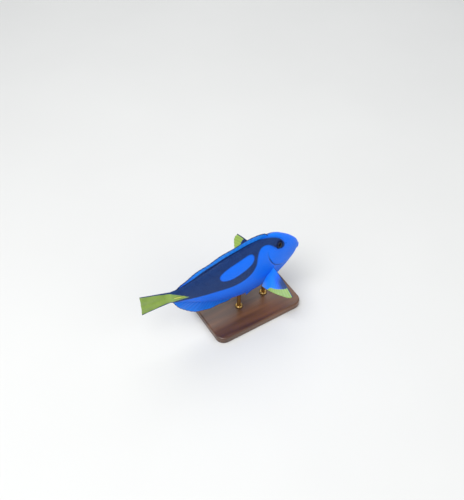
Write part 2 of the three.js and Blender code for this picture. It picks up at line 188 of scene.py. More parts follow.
# %% The markings
PALETTE_CORNERS = [
    (29.5, 22.6), (33, 28), (37, 32.6), (46, 36.9), (55, 39.3), (66, 40.9), (78, 41.7), (93, 41.4),
    (107.5, 40.1), (122, 37.7), (136, 33.9), (144, 30.7), (152, 26.6), (160.5, 21.6), (169, 16.2),
    (176, 12.8), (181, 12), (240, 24),
    (240, -24), (188, -12), (179, -8.8), (172, -7.2), (166, -7.4), (154, -6), (140, -4.8), (126, -4.6),
    (115, -5), (105, -4.4), (94, -1.6), (83.4, 5.6), (77.4, 14.6), (75.2, 24), (71.5, 31.3), (65.5, 34.7),
    (57.5, 34.2), (51, 30.6), (45, 24.8), (38.5, 20.2), (32, 18.4),
]
OVAL_CORNERS = [
    (79.3, 30.6), (82, 33), (86.5, 33.4), (98.5, 31.2), (113, 27.8), (123.5, 23.2), (128.2, 18.4),
    (127, 12.8), (122, 9.2), (112, 8.5), (101.3, 11.3), (90.3, 15.3), (82, 20.5), (79, 25.6),
]
TAIL_WEDGE_CORNERS = [
    (165.5, -2.2), (170, -0.4), (175, 2.8), (181, 5.6), (188, 8), (196, 9.4), (208, 12.3), (226, 16.4),
    (240, 19.6), (240, -19.6), (226, -16.4), (208, -12), (196, -8.8), (188, -7), (181, -5.2), (175, -3.9),
    (169, -3),
]


def rounded(outline, times=2):
    """The outline with its corners cut, again and again, into a smooth curve."""
    points = np.array(outline, float)
    for _ in range(times):
        after = np.roll(points, -1, axis=0)
        points = np.stack([0.75 * points + 0.25 * after, 0.25 * points + 0.75 * after], 1).reshape(-1, 2)
    return points


def inside(outline, s, z):
    """How far places lie inside a closed outline, in mm: below 0 outside it."""
    nearest = np.full(np.shape(s), np.inf)
    odd = np.zeros(np.shape(s), bool)
    for (s0, z0), (s1, z1) in zip(outline, np.roll(outline, -1, axis=0)):
        ds, dz = s1 - s0, z1 - z0
        share = np.clip(((s - s0) * ds + (z - z0) * dz) / (ds * ds + dz * dz), 0, 1)
        nearest = np.minimum(nearest, np.hypot(s - s0 - share * ds, z - z0 - share * dz))
        if z0 != z1:
            odd ^= ((z0 > z) != (z1 > z)) & (s < s0 + (z - z0) * ds / dz)
    return np.where(odd, nearest, -nearest)


PALETTE, OVAL = rounded(PALETTE_CORNERS), rounded(OVAL_CORNERS)
TAIL_WEDGE = rounded(TAIL_WEDGE_CORNERS, times=1)


def body_marks(s, z):
    """The two distances that every mesh of the body stores: how dark and how yellow."""
    yellow = inside(TAIL_WEDGE, s, z)
    dark = np.minimum(inside(PALETTE, s, z), -inside(OVAL, s, z))
    return dark, yellow


print("dark at the eye", inside(PALETTE, np.array([38.5]), np.array([25.0])).round(1), "mm inside")

# %% [markdown]
# Shader sums read best as sums. A small class wraps a socket, so that an expression on it adds the Math
# nodes by itself, and one method adds any other node from its type, its settings and its inputs.

# %% Wrapped sockets for the materials
class Wire:
    """A shader value that can be added to, multiplied and compared."""

    def __init__(self, paint, socket):
        self.paint, self.socket = paint, socket

    def sum(self, operation, *values):
        return self.paint.node("ShaderNodeMath", {"operation": operation}, dict(enumerate(values)))

    def __add__(self, other):
        return self.sum("ADD", self, other)

    def __mul__(self, other):
        return self.sum("MULTIPLY", self, other)

    def __sub__(self, other):
        return self.sum("SUBTRACT", self, other)

    __radd__, __rmul__ = __add__, __mul__


class Paint:
    """One material's nodes, ending in a Principled shader."""

    def __init__(self, name, **constants):
        self.material = bpy.data.materials.new(name)
        self.material.use_nodes = True
        self.tree = self.material.node_tree
        self.shader = self.tree.nodes["Principled BSDF"]
        for socket, value in constants.items():
            self.shader.inputs[socket.replace("_", " ")].default_value = value

    def node(self, kind, settings=None, inputs=None, output=0):
        made = self.tree.nodes.new(kind)
        for name, value in (settings or {}).items():
            setattr(made, name, value)
        for key, value in (inputs or {}).items():
            self.feed(made.inputs[key], value)
        return Wire(self, made.outputs[output])

    def feed(self, socket, value):
        if isinstance(value, Wire):
            self.tree.links.new(value.socket, socket)
        elif isinstance(value, tuple) and len(value) == 3 and socket.type == "RGBA":
            socket.default_value = (*value, 1)
        else:
            socket.default_value = value

    def surface(self, **inputs):
        for name, value in inputs.items():
            self.feed(self.shader.inputs[name.replace("_", " ")], value)
        return self.material

    def ramp(self, at, stops):
        """A colour for each value, from a list of places and the colours there."""
        made = self.node("ShaderNodeValToRGB", {}, {0: at})
        elements = made.socket.node.color_ramp.elements
        while len(elements) < len(stops):
            elements.new(0.5)
        for element, (position, tint) in zip(elements, stops):
            element.position, element.color = position, (*tint, 1)
        return made

    def stored(self, name, output="Fac"):
        return self.node("ShaderNodeAttribute", {"attribute_name": name}, output=output)

    def mix(self, factor, a, b):
        return self.node("ShaderNodeMix", {"data_type": "RGBA"}, {0: factor, 6: a, 7: b}, output=2)

    def ease(self, value, low, high):
        """0 up to low, 1 from high, and a soft change between them."""
        places = {"Value": value, "From Min": low, "From Max": high}
        return self.node("ShaderNodeMapRange", {"interpolation_type": "SMOOTHSTEP"}, places)

    def noise(self, at, scale, detail=3.0):
        return self.node("ShaderNodeTexNoise", {}, {"Vector": at, "Scale": scale, "Detail": detail})

    def relief(self, height, distance, strength=1.0):
        inputs = {"Height": height, "Distance": distance, "Strength": strength}
        return self.node("ShaderNodeBump", {}, inputs)


def colour(red, green, blue):
    """A colour read off a screen, 0 to 255, as the linear light that a shader takes."""
    shares = [c / 255 for c in (red, green, blue)]
    return tuple(c / 12.92 if c <= 0.04045 else ((c + 0.055) / 1.055) ** 2.4 for c in shares)


print("flank blue", [round(c, 3) for c in colour(3, 120, 252)])

# %% [markdown]
# The skin and the scales share one way of colouring: royal blue that is lighter on the flank, with painted
# shade that deepens it on the belly and painted light that brightens the back, the palette in blue-black
# with a thin deeper edge, and the yellow wedge. The skin is smooth and wet under its tiny scales, so it has
# a low roughness and a clear coat.

# %% Skin and scale materials
BLUE, DEEP_BLUE, BRIGHT_BLUE = colour(0, 116, 252), colour(4, 84, 214), colour(4, 140, 252)
NIGHT, SOFT_NIGHT, EDGE_BLUE = colour(14, 32, 84), colour(22, 50, 108), colour(0, 58, 186)
SHADOW, LIGHT_SCALE = colour(6, 26, 84), colour(90, 160, 255)
YELLOW, PALE_YELLOW = colour(122, 150, 54), colour(172, 200, 84)
BLUE_SHEEN = (0.3, 0.55, 1.0, 1.0)
# Height bands in mm: painted shade on the belly, painted light on the back.
SHADED_BELLY_BAND, LIT_BACK_BAND = (-34, 2), (34, 46)
EDGE_SOFTNESS, EDGE_BAND = 0.5, 2.2


def body_colour(paint):
    """The colour of the body, and the place on the straight fish that patterns are laid on."""
    on_fish = paint.stored("fish", output="Vector")
    height = paint.node("ShaderNodeSeparateXYZ", {}, {"Vector": on_fish}, output="Z")
    cloud = paint.noise(on_fish, 0.06, 4.0)
    # Painted shade makes the belly a deeper blue, and painted light makes the back a brighter blue.
    blue = paint.mix(paint.ease(height + cloud * 14, *SHADED_BELLY_BAND), DEEP_BLUE, BLUE)
    blue = paint.mix(paint.ease(height + cloud * 10, *LIT_BACK_BAND) * 0.6, blue, BRIGHT_BLUE)
    wobble = (paint.noise(on_fish, 0.9, 2.0) - 0.5) * EDGE_SOFTNESS
    dark, yellow = paint.stored("dark") + wobble, paint.stored("yellow") + wobble
    blue = paint.mix(paint.ease(dark, -EDGE_BAND, 0) * 0.5, blue, EDGE_BLUE)
    night = paint.mix(paint.noise(on_fish, 0.12, 3.0), NIGHT, SOFT_NIGHT)
    shade = paint.mix(paint.ease(dark, -0.5 * EDGE_SOFTNESS, 0.5 * EDGE_SOFTNESS), blue, night)
    gold = paint.mix(cloud, YELLOW, PALE_YELLOW)
    tint = paint.mix(paint.ease(yellow, -0.8 * EDGE_SOFTNESS, 0.8 * EDGE_SOFTNESS), shade, gold)
    return tint, on_fish


def skin_material():
    paint = Paint("skin", Roughness=0.45, Coat_Weight=0.1, Coat_Roughness=0.2, Specular_Tint=BLUE_SHEEN)
    tint, on_fish = body_colour(paint)
    tint = paint.mix(paint.stored("shade") * 0.85, tint, SHADOW)
    cells = paint.node("ShaderNodeTexVoronoi", {}, {"Vector": on_fish, "Scale": 1.0})
    pores = paint.relief(cells * 0.6 + paint.noise(on_fish, 2.2), 0.00006, 0.5)
    return paint.surface(Base_Color=tint, Normal=pores)


def scale_material():
    paint = Paint("scales", Coat_Weight=0.1, Coat_Roughness=0.15, Specular_Tint=BLUE_SHEEN)
    tint, _ = body_colour(paint)
    tone = paint.stored("tone")
    varied = paint.mix(tone * 0.1, tint, LIGHT_SCALE)
    return paint.surface(Base_Color=varied, Roughness=0.36 + tone * 0.14)


skin_finish, scale_finish = skin_material(), scale_material()
print("materials", skin_finish.name, scale_finish.name)

# %% [markdown]
# Every mesh is finished by the same few lines: it is linked, its points are moved from an array, the
# values that the materials read are stored on its points, and it is told which body it rides on and
# which nodes it stands for.

# %% Helpers that finish a piece
def coordinates(mesh):
    co = np.empty(len(mesh.vertices) * 3)
    mesh.vertices.foreach_get("co", co)
    return co.reshape(-1, 3)


def from_bmesh(name, bm):
    mesh = bpy.data.meshes.new(name)
    bm.to_mesh(mesh)
    bm.free()
    piece = bpy.data.objects.new(name, mesh)
    scene.collection.objects.link(piece)
    return piece


def move_points(piece, points):
    piece.data.vertices.foreach_set("co", np.asarray(points, np.float32).ravel())
    piece.data.update()


def store(piece, **values):
    for name, value in values.items():
        value = np.asarray(value, np.float32)
        kind = "FLOAT_VECTOR" if value.ndim == 2 else "FLOAT"
        attribute = piece.data.attributes.new(name, kind, "POINT")
        attribute.data.foreach_set("vector" if value.ndim == 2 else "value", value.ravel())


def finish_piece(piece, material, slot, *nodes):
    piece.data.materials.clear()
    piece.data.materials.append(material)
    for polygon in piece.data.polygons:
        polygon.use_smooth = True
    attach(piece, "root")
    if nodes:
        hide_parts(*nodes)
    triangles = sum(len(p.vertices) - 2 for p in piece.data.polygons)
    print(f"{piece.name}: {triangles} triangles")


def turn_outwards(piece):
    """Turns every face of a closed piece to look out of it."""
    bm = bmesh.new()
    bm.from_mesh(piece.data)
    bmesh.ops.recalc_face_normals(bm, faces=bm.faces)
    bm.to_mesh(piece.data)
    bm.free()


def unit(vectors):
    return vectors / np.linalg.norm(vectors, axis=-1, keepdims=True)


def point_normals(mesh):
    normals = np.empty(len(mesh.vertices) * 3)
    mesh.vertices.foreach_get("normal", normals)
    return normals.reshape(-1, 3)


print("helpers ready")

# %% [markdown]
# The body is one closed skin from snout to tail, because head, trunk and tail stem are one animal. A UV
# sphere already has the right make: its two poles become the snout tip and the end of the stem, its rings
# the cross sections. Its points are moved onto the outline, then pushed in or out along their normals for
# the details: gill cover, orbit, nostrils, lips and mouth, and the groove of the tail blade.

# %% The skin's base form
AROUND, ALONG = 300, 400
CROWDING = 1.5
COAT_DEPTH = 0.12
STEM_END = (184, 191.6, 0.45)


def skin_girth(s, angle):
    """The body's half thickness, where the stem's fleshy end thins out into the tail fin."""
    start, end, share = STEM_END
    return girth(s, angle) * (1 - share * smooth(s, start, end))


bm = bmesh.new()
bmesh.ops.create_uvsphere(bm, u_segments=AROUND, v_segments=ALONG, radius=1)
skin = from_bmesh("skin", bm)
ball = coordinates(skin.data)
along = np.arccos(np.clip(ball[:, 2], -1, 1)) / math.pi
skin_s = LENGTH * along**CROWDING
skin_angle = np.arcsin(np.clip(ball[:, 0] / np.maximum(np.hypot(ball[:, 0], ball[:, 1]), 1e-9), -1, 1))
skin_side = np.sign(ball[:, 1])
section_middle, section_half = middle_and_half(skin_s)
pole = np.hypot(ball[:, 0], ball[:, 1]) < 1e-6
skin_y = np.where(pole, 0, skin_side * skin_girth(skin_s, skin_angle))
skin_z = section_middle + section_half * np.sin(skin_angle)
end_cap = smooth(along, 0.9985, 1)
skin_y, skin_z = skin_y * (1 - end_cap), skin_z * (1 - end_cap)
move_points(skin, place(skin_s, skin_y, skin_z))
turn_outwards(skin)
print("skin points", len(skin_s))

# %% The details of the head and body, as heights along the normal in mm
EYE_S, EYE_Z = 38.5, 25
MOUTH_Z = -2.6
NOSTRILS = [(30, 22.6, 0.75), (27, 21, 0.95)]
GILL_LINE = [
    (-50, 21), (-33, 23.5), (-22, 27), (-14, 31), (-9, 36.5), (-5.6, 42), (-2.5, 46.2), (1.9, 50.3),
    (6.7, 53.2), (15, 56.7), (20.5, 57.8), (28, 55.5), (38, 51), (60, 46),
]
gill_s = through(GILL_LINE)
BREAST_ROOT = ((50, -5.5), (55, -14.5))
BLADE_S, BLADE_Z = 178, 0.2
LEAN = 0.85
COVER_HEIGHT = 0.6
SLIT_AT, SLIT_WIDTH, SLIT_DEPTH = 0.8, 0.8, 0.75
SOCKET_EDGE, RIM_AT, FOLD_AT, BROW_AT = (4.9, 6.0), 6.5, 8.1, 9.5


def distance_to(s0, z0, s, z):
    """Roughly the distance along the skin from a place, where the side leans in towards the back."""
    return np.hypot(s - s0, (z - z0) / LEAN)


def behind_gill(s, z):
    """How far a place lies behind the gill line, across the line."""
    slope = gill_s(z + 0.5) - gill_s(z - 0.5)
    return (s - gill_s(z)) / np.hypot(1, slope)


def gill_shown(z):
    """The slit is open low on the cheek and closes towards the throat and the nape."""
    return smooth(z, -15, -6) * (1 - 0.7 * smooth(z, 8, 20)) * (1 - smooth(z, 20, 28))


def gill_relief(s, z):
    behind = behind_gill(s, z)
    cover = COVER_HEIGHT * smooth(behind, -13, -1.2) * (1 - smooth(behind, -0.6, 0.6))
    slit = -SLIT_DEPTH * bump(behind - SLIT_AT, SLIT_WIDTH)
    return gill_shown(z) * (cover + slit)


def eye_relief(s, z):
    away = distance_to(EYE_S, EYE_Z, s, z)
    socket = -2.6 * (1 - smooth(away, *SOCKET_EDGE))
    rim = 0.75 * bump(away - RIM_AT, 0.75)
    fold = -0.22 * bump(away - FOLD_AT, 0.6)
    brow = 0.35 * bump(away - BROW_AT, 2.6) * smooth(z, 24, 31)
    return socket + rim + fold + brow


def above_mouth(s, z):
    """How far above the mouth line, which turns down at its corners."""
    return z - MOUTH_Z + 0.1 * s + 0.05 * s * s


def mouth_gape(s, z):
    return bump(above_mouth(s, z), 0.3) * (1 - smooth(s, 2.8, 4.2))


def mouth_relief(s, z):
    off = above_mouth(s, z)
    lips = (1 - smooth(s, 2.2, 5.4)) * (1.05 * bump(off - 1.5, 1.25) + 0.95 * bump(off + 1.45, 1.15))
    crease = -0.3 * bump(s - 5.6, 0.8) * bump(off, 3.2)
    above = -0.25 * bump(off - 4.1, 1.0) * (1 - smooth(s, 3, 8))
    chin = -0.3 * bump(off + 3.9, 0.9) * (1 - smooth(s, 4, 9))
    return lips + crease - 1.5 * mouth_gape(s, z) + above + chin


def nostril_relief(s, z):
    height = np.zeros_like(s)
    for s0, z0, radius in NOSTRILS:
        away = distance_to(s0, z0, s, z)
        height += -1.0 * bump(away, radius * 0.8) + 0.3 * bump(away - 1.5 * radius, 0.4)
    return height


def body_relief(s, z):
    groove = -0.7 * bump(z - BLADE_Z, 1.5) * smooth(s, 169.5, 172) * (1 - smooth(s, 184, 186.5))
    (s0, z0), (s1, z1) = BREAST_ROOT
    share = np.clip(((s - s0) * (s1 - s0) + (z - z0) * (z1 - z0)) / ((s1 - s0) ** 2 + (z1 - z0) ** 2), 0, 1)
    from_root = np.hypot(s - s0 - share * (s1 - s0), z - z0 - share * (z1 - z0))
    shoulder = 1.0 * bump(from_root, 3.2)
    return groove + shoulder


relief = gill_relief(skin_s, skin_z) + eye_relief(skin_s, skin_z) + nostril_relief(skin_s, skin_z)
relief += mouth_relief(skin_s, skin_z) + body_relief(skin_s, skin_z) - COAT_DEPTH
out = point_normals(skin.data)
move_points(skin, coordinates(skin.data) + MM * relief[:, None] * out)
dark, yellow = body_marks(skin_s, skin_z)
shade = bump(behind_gill(skin_s, skin_z) - SLIT_AT, 0.7) * gill_shown(skin_z) + mouth_gape(skin_s, skin_z)
for s0, z0, radius in NOSTRILS:
    shade += bump(distance_to(s0, z0, skin_s, skin_z), radius * 0.7)
shade += 0.8 * (1 - smooth(distance_to(EYE_S, EYE_Z, skin_s, skin_z), 5.2, 6.2))
store(
    skin, dark=dark, yellow=yellow, shade=np.minimum(shade, 1), fish=np.stack([skin_s, skin_y, skin_z], -1)
)
finish_piece(skin, skin_finish, "skin", "head", "trunk", "tail_stem")

# %% [markdown]
# The scales of this fish are tiny and thousands of them cover it. A scale is a low plate of seven sides
# whose crest stands near its rear edge, so that each looks like a small tile lying along the body. One
# plate is made with an operator, and arrays lay copies of it over the skin in staggered rows, small on the
# head and the tail stem, each one turned, sized and toned a little differently from a seeded draw. The
# copies are one mesh for each side. Their own UV map gives each scale a tiny patch at its root's place on
# the unrolled skin.

# %% One scale, and where the scales sit
PITCH, ROW_STEP = 1.0, 0.92
FIRST_ROW, LAST_ROW = 4.5, 188.5
PLATE_SIDES, PLATE_RADIUS = 7, 0.66
PLATE_STRETCH = (1.15, 1.0, 0.17)
CREST_BACK, PLATE_LIFT, PLATE_TILT = 0.36, 0.02, 0.05
PATCH_HALF = 0.0015


def plate():
    """A scale's points and triangles for a pitch of 1, with +X to the rear and +Z out of the skin."""
    bm = bmesh.new()
    bmesh.ops.create_cone(
        bm, cap_ends=True, segments=PLATE_SIDES, radius1=PLATE_RADIUS, radius2=0, depth=1
    )
    bmesh.ops.rotate(bm, verts=bm.verts, matrix=Matrix.Rotation(math.pi / 2, 3, "Z"))
    bmesh.ops.triangulate(bm, faces=bm.faces)
    bmesh.ops.scale(bm, vec=PLATE_STRETCH, verts=bm.verts)
    points = np.array([v.co for v in bm.verts])
    corners = np.array([[v.index for v in f.verts] for f in bm.faces])
    bm.free()
    top = points[:, 2] > 0
    points[top, 0] += CREST_BACK
    points[:, 2] += PLATE_LIFT + PLATE_TILT * points[:, 0]
    return points, corners


PLATE, PLATE_CORNERS = plate()


def scale_sites(rng):
    """Where scales sit on a straight side, as s and the angle round the section, in staggered rows."""
    sites = []
    s = FIRST_ROW
    row = 0
    while s < LAST_ROW:
        pitch = PITCH * float(0.5 + 0.5 * smooth(s, 4, 60) - 0.26 * smooth(s, 140, 186))
        angles = np.linspace(-math.pi / 2, math.pi / 2, 181)
        middle, half = middle_and_half(s)
        arc = np.r_[0, np.cumsum(np.hypot(np.diff(girth(s, angles)), np.diff(half * np.sin(angles))))]
        count = max(int(arc[-1] / pitch), 3)
        steps = (np.arange(count) + 0.25 + 0.5 * (row % 2)) * arc[-1] / count
        jitter = rng.normal(0, 0.06 * pitch, count)
        spots = np.interp(steps + jitter, arc, angles)
        sites.append(np.stack([s + rng.normal(0, 0.07 * pitch, count), spots, np.full(count, pitch)], -1))
        s += pitch * ROW_STEP
        row += 1
    return np.concatenate(sites)


def bare(s, z):
    """Where no scale sits: on the eye, the lips, the nostrils and the gill slit."""
    none = distance_to(EYE_S, EYE_Z, s, z) < 7.4
    for s0, z0, radius in NOSTRILS:
        none |= distance_to(s0, z0, s, z) < radius + 1.1
    slit = (np.abs(behind_gill(s, z) - 0.6) < 1.5) & (gill_shown(z) > 0.1)
    groove = (np.abs(z - BLADE_Z) < 1.5) & (s > 170) & (s < 186)
    return none | slit | groove | (np.hypot(s, (z - MOUTH_Z) * 0.9) < 8)


def on_side(s, angle, side):
    middle, half = middle_and_half(s)
    return place(s, side * skin_girth(s, angle), middle + half * np.sin(angle))


def skin_point(s, angle, side):
    """Points on the finished skin, with the directions to the rear, up and out of it, and their height."""
    middle, half = middle_and_half(s)
    z = middle + half * np.sin(angle)
    height = gill_relief(s, z) + body_relief(s, z) + eye_relief(s, z) + nostril_relief(s, z)
    height += mouth_relief(s, z) - COAT_DEPTH
    rear = unit(on_side(s + 0.2, angle, side) - on_side(s, angle, side))
    turn = on_side(s, angle + 1e-3, side) - on_side(s, angle - 1e-3, side)
    normal = unit(side * np.cross(rear, turn))
    return on_side(s, angle, side) + MM * height[:, None] * normal, rear, np.cross(normal, rear), normal, z


print("a scale has", len(PLATE_CORNERS), "triangles")

# %% Lay the scales on each side
def copies(size, turn):
    """The plate's points for each scale, sized, and turned in the skin's plane."""
    local = PLATE[None] * size[:, None, None]
    cos, sin = np.cos(turn)[:, None], np.sin(turn)[:, None]
    x = local[..., 0] * cos - local[..., 1] * sin
    y = local[..., 0] * sin + local[..., 1] * cos
    return x, y, local[..., 2]


def triangle_piece(name, points, corners):
    mesh = bpy.data.meshes.new(name)
    mesh.vertices.add(len(points))
    mesh.vertices.foreach_set("co", points.astype(np.float32).ravel())
    mesh.loops.add(corners.size)
    mesh.loops.foreach_set("vertex_index", corners.ravel().astype(np.int32))
    mesh.polygons.add(len(corners))
    mesh.polygons.foreach_set("loop_start", np.arange(0, corners.size, 3, dtype=np.int32))
    mesh.update(calc_edges=True)
    mesh.validate()
    piece = bpy.data.objects.new(name, mesh)
    scene.collection.objects.link(piece)
    return piece


def add_bake_map(mesh, s, angle):
    """Gives each scale its own patch, at its root's place on the unrolled skin."""
    patch = PATCH_HALF * PLATE[:, :2] / np.abs(PLATE[:, :2]).max()
    root = np.stack([0.02 + 0.96 * s / LENGTH, 0.02 + 0.96 * (angle / math.pi + 0.5)], -1)
    unrolled = (root[:, None] + patch[None]).reshape(-1, 2)
    loops = np.empty(len(mesh.loops), np.int32)
    mesh.loops.foreach_get("vertex_index", loops)
    bake_map = mesh.uv_layers.new(name="OFBake")
    bake_map.data.foreach_set("uv", unrolled[loops].astype(np.float32).ravel())


def lay_scales(side_name, seed):
    rng = np.random.default_rng(seed)
    sites = scale_sites(rng)
    middle, half = middle_and_half(sites[:, 0])
    keep = ~bare(sites[:, 0], middle + half * np.sin(sites[:, 1]))
    s, angle, pitch = sites[keep & (np.abs(sites[:, 1]) < math.radians(86))].T
    at, rear, up, normal, z = skin_point(s, angle, SIDES[side_name])
    count = len(s)
    size = pitch * rng.uniform(0.94, 1.1, count)
    x, y, out = copies(size, rng.normal(0, 0.1, count))
    points = at[:, None] + MM * (
        x[..., None] * rear[:, None] + y[..., None] * up[:, None] + out[..., None] * normal[:, None]
    )
    corners = PLATE_CORNERS[None] + (np.arange(count) * len(PLATE))[:, None, None]
    piece = triangle_piece(f"scales_{side_name}", points.reshape(-1, 3), corners.reshape(-1, 3))
    turn_outwards(piece)
    point_s = (s[:, None] + x).ravel()
    point_z = (z[:, None] + y * np.cos(angle)[:, None]).ravel()
    dark, yellow = body_marks(point_s, point_z)
    tone = np.repeat(rng.uniform(0, 1, count), len(PLATE))
    store(piece, dark=dark, yellow=yellow, tone=tone, fish=np.stack([point_s, 0 * point_s, point_z], -1))
    add_bake_map(piece.data, s, angle)
    finish_piece(piece, scale_finish, "skin")


lay_scales("left", 11)
lay_scales("right", 12)

# %% [markdown]
# A fin is a web stretched between rays. Its middle surface is a grid, with u from the first ray to the
# last and v from root to margin. The grid is doubled, each copy is pushed out by half the local thickness,
# and a bridge closes the rim, so the rays are ridges in the web's own surface on both faces. The first
# rays of a fin are plain spines. The soft rays fork on the way out, and are jointed across.

# %% Fin surfaces
JOINT_PITCH = 1.6
MARGIN_THICKNESS = 0.28


def fin_sheet(name, columns, rows, at, thick):
    """A closed fin. at and thick take arrays of u and v, and give places in metres and a thickness in mm."""
    bm = bmesh.new()
    bmesh.ops.create_grid(bm, x_segments=columns, y_segments=rows, size=1)
    copy = bmesh.ops.duplicate(bm, geom=bm.verts[:] + bm.edges[:] + bm.faces[:])
    bmesh.ops.reverse_faces(bm, faces=[g for g in copy["geom"] if isinstance(g, bmesh.types.BMFace)])
    half_count = len(bm.verts) // 2
    bm.verts.index_update()
    uv = (np.array([v.co[:2] for v in bm.verts]) + 1) / 2
    u, v = uv[:half_count].T
    step = 1e-3
    across = at(np.minimum(u + step, 1), v) - at(np.maximum(u - step, 0), v)
    outward = at(u, np.minimum(v + step, 1)) - at(u, np.maximum(v - step, 0))
    normal = unit(np.cross(across, outward))
    middle = at(u, v)
    half = MM * thick(u, v)[:, None] / 2 * normal
    rim = [e for e in bm.edges if len(e.link_faces) == 1]
    for vertex, point in zip(bm.verts, np.concatenate([middle + half, middle - half])):
        vertex.co = point
    bmesh.ops.bridge_loops(bm, edges=rim)
    bmesh.ops.recalc_face_normals(bm, faces=bm.faces)
    piece = from_bmesh(name, bm)
    return piece, uv[:, 0], uv[:, 1]


def ridges(u, v, rays, spines=0, width=0.17):
    """1 on a ray's crest and 0 between rays, where soft rays fork towards the margin."""
    at_ray = u * (rays - 1)
    nearest = np.round(at_ray)
    fork = np.where(nearest < spines, 0, 0.17 * smooth(v, 0.42, 0.95))
    slim = np.where(nearest < spines, width * 0.85, width * (1 - 0.35 * smooth(v, 0.4, 0.9)))
    return bump(np.abs(at_ray - nearest) - fork, slim)


def joints(v, length):
    """Small steps along a soft ray, from its first quarter outwards."""
    return 1 - 0.3 * smooth(v, 0.2, 0.35) * bump(np.mod(v * length / JOINT_PITCH, 1) - 0.5, 0.16)


def ray_thickness(rays, length, web=0.5, crest=0.75, flesh=1.6, reach=0.07, spines=0, stout=0.0):
    def thick(u, v):
        taper = 1 - v
        ridge = ridges(u, v, rays, spines) * joints(v, length) * (0.22 + crest * taper)
        base = flesh * np.exp(-v / reach)
        sheet = MARGIN_THICKNESS + (web - MARGIN_THICKNESS) * taper
        return sheet + ridge + base + stout * bump(u, 0.02) * taper

    return thick


def fringe(u, rays, depth=0.018):
    """How far the margin reaches: the web draws back a little between the rays."""
    return 1 - depth * (1 - bump(u * (rays - 1) - np.round(u * (rays - 1)), 0.3))


print("fin helpers ready")

# %% [markdown]
# The fins are the body's blue where they join it. The palette climbs onto the dorsal fin, and a thin dark
# line edges the dorsal and anal fins. The tail is yellow between two dark borders. The breast fins turn
# yellow towards their tips behind a dark leading ray. A fin stores the same two distances as the skin, and
# a third for its own dark edge, so that one way of colouring does for all.

# %% Fin material
PALE_WEB, YELLOW_RAY, FIN_EDGE = colour(96, 142, 206), colour(104, 130, 48), colour(9, 24, 78)
FAR_OUTSIDE = -9.0


def fin_material():
    paint = Paint("fin_web", Coat_Weight=0.1, Coat_Roughness=0.2, Specular_Tint=BLUE_SHEEN)
    crest, depth = paint.stored("crest"), paint.stored("depth")
    on_fish = paint.stored("fish", output="Vector")
    cloud = paint.noise(on_fish, 0.08, 3.0)
    blue = paint.mix(cloud * 0.35, paint.mix(depth, BRIGHT_BLUE, DEEP_BLUE), BLUE)
    blue = paint.mix(crest * 0.3, blue, EDGE_BLUE)
    blue = paint.mix(paint.ease(depth, 0.9, 2.0), blue, SHADOW)
    blue = paint.mix(paint.stored("pale"), blue, PALE_WEB)
    night = paint.mix(cloud, NIGHT, SOFT_NIGHT)
    web = paint.mix(paint.ease(paint.stored("dark"), -0.4, 0.4), blue, night)
    gold = paint.mix(crest * 0.45, paint.mix(cloud, YELLOW, PALE_YELLOW), YELLOW_RAY)
    web = paint.mix(paint.ease(paint.stored("yellow") + (cloud - 0.5) * 1.5, -0.6, 0.6), web, gold)
    tint = paint.mix(paint.ease(paint.stored("edge"), -0.3, 0.3), web, FIN_EDGE)
    skin_like = paint.relief(paint.noise(on_fish, 1.6), 0.00005, 0.4)
    return paint.surface(Base_Color=tint, Roughness=0.34 + 0.12 * crest, Normal=skin_like)


fin_finish = fin_material()


def add_fin(name, slot, node, rays, rows, at, thick, marks, spines=0, per_ray=8):
    """marks takes u, v, s and z, and gives the values that differ from a plain bright blue fin."""
    piece, u, v = fin_sheet(name, (rays - 1) * per_ray, rows, at, thick)
    s = SNOUT_X - coordinates(piece.data)[:, 0] / MM
    z = coordinates(piece.data)[:, 2] / MM - AXIS_HEIGHT
    outside = np.full_like(u, FAR_OUTSIDE)
    values = {"dark": outside, "yellow": outside, "edge": outside, "depth": 0 * u, "pale": 0 * u}
    values.update(marks(u, v, s, z))
    crest = ridges(u, v, rays, spines) * smooth(v, 0.04, 0.22)
    store(piece, crest=crest, fish=np.stack([s, 0 * s, z], -1), **values)
    finish_piece(piece, fin_finish, slot, node)


def margin_gap(at, s, z):
    """How far places lie from a fin's margin, seen from the side."""
    share = np.linspace(0, 1, 500)
    margin = at(share, np.ones_like(share))
    line = np.stack([SNOUT_X - margin[:, 0] / MM, margin[:, 2] / MM - AXIS_HEIGHT], -1)
    return np.sqrt(((np.stack([s, z], -1)[:, None] - line) ** 2).sum(-1)).min(-1)


print("material", fin_finish.name)

# %% The dorsal and anal fins
DORSAL_ROOT = (48, 172)
DORSAL_MARGIN = [
    (50, 40), (55, 45.5), (63, 48.6), (84, 49.6), (102, 48), (120, 45), (136, 40.2), (150, 34.2),
    (162, 27.2), (172, 18.8), (180.5, 11.4),
]
ANAL_ROOT = (99, 172)
ANAL_MARGIN = [
    (101, -41.5), (105, -44.6), (115, -46.2), (127, -45.9), (138, -45.6), (148, -44.9), (158.5, -41.7),
    (169, -35.2), (177.4, -26.4), (183.2, -17.3), (186.2, -10.9),
]
SUNK = 3


def mix(a, b, t):
    return a + (b - a) * t


def middle_fin(root, margin, edge, sign, rays):
    shares = np.linspace(0, 1, len(margin))
    margin_s = through(list(zip(shares, [p[0] for p in margin])))
    margin_z = through(list(zip(shares, [p[1] for p in margin])))

    def at(u, v):
        v = v * fringe(u, rays)
        root_s = mix(*root, u)
        s = mix(root_s, margin_s(u), v + 0.12 * v * (1 - v))
        z = mix(edge(root_s) - sign * SUNK, margin_z(u), v)
        return place(s, 0.5 * v * np.sin(9 * math.pi * u), z)

    return at


DORSAL_RAYS, DORSAL_SPINES, ANAL_RAYS, ANAL_SPINES = 28, 9, 21, 3
dorsal_at = middle_fin(DORSAL_ROOT, DORSAL_MARGIN, back, 1, DORSAL_RAYS)
anal_at = middle_fin(ANAL_ROOT, ANAL_MARGIN, belly, -1, ANAL_RAYS)


def dorsal_marks(u, v, s, z):
    duller = 0.9 * smooth(s, 150, 176)
    return {"dark": inside(PALETTE, s, z), "edge": 1.0 - margin_gap(dorsal_at, s, z), "depth": duller}


